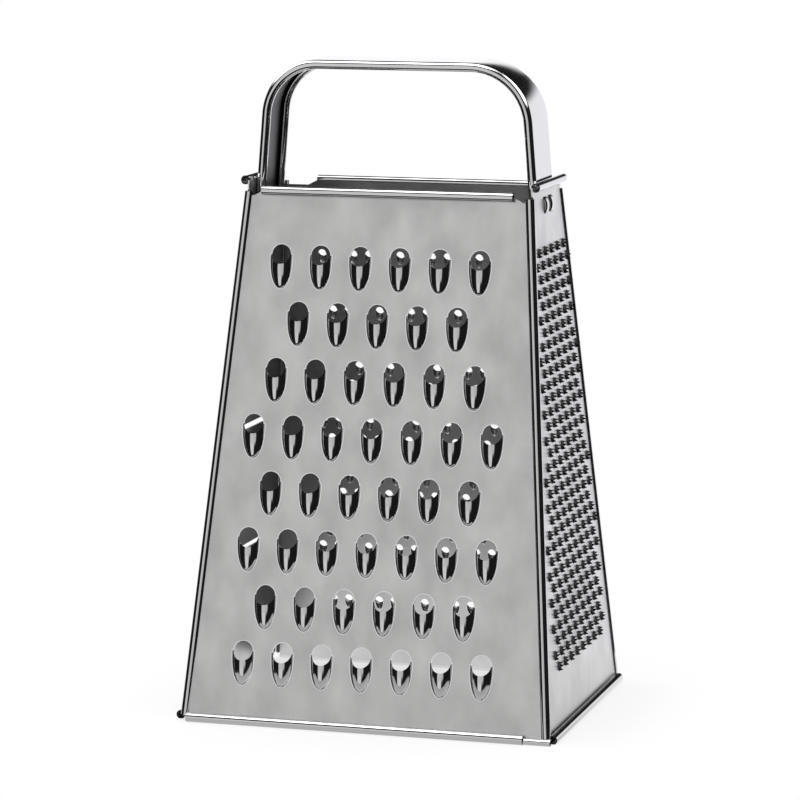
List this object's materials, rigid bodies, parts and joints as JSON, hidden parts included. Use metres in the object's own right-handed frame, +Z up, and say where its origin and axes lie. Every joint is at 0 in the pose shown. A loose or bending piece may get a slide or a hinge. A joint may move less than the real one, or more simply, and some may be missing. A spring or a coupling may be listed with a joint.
{
  "type": "box grater",
  "caption": "Four-sided tapered steel grater, open at top and bottom, with coarse, fine, slicing and star-rasp faces and a strap handle.",
  "frame": {"origin": "on the floor, under the middle of the body", "axes": "+Z up; the coarse face looks along -Y, the star rasp along +X, the fine face along +Y and the slicing face along -X"},
  "size_m": [0.1382, 0.1094, 0.23],
  "materials": {
    "panel_steel": "satin stainless sheet",
    "handle_steel": "polished stainless strip"
  },
  "bodies": {
    "root": {"front_panel": "panel_steel", "back_panel": "panel_steel", "left_panel": "panel_steel", "right_panel": "panel_steel", "handle": "handle_steel"}
  },
  "joints": []
}
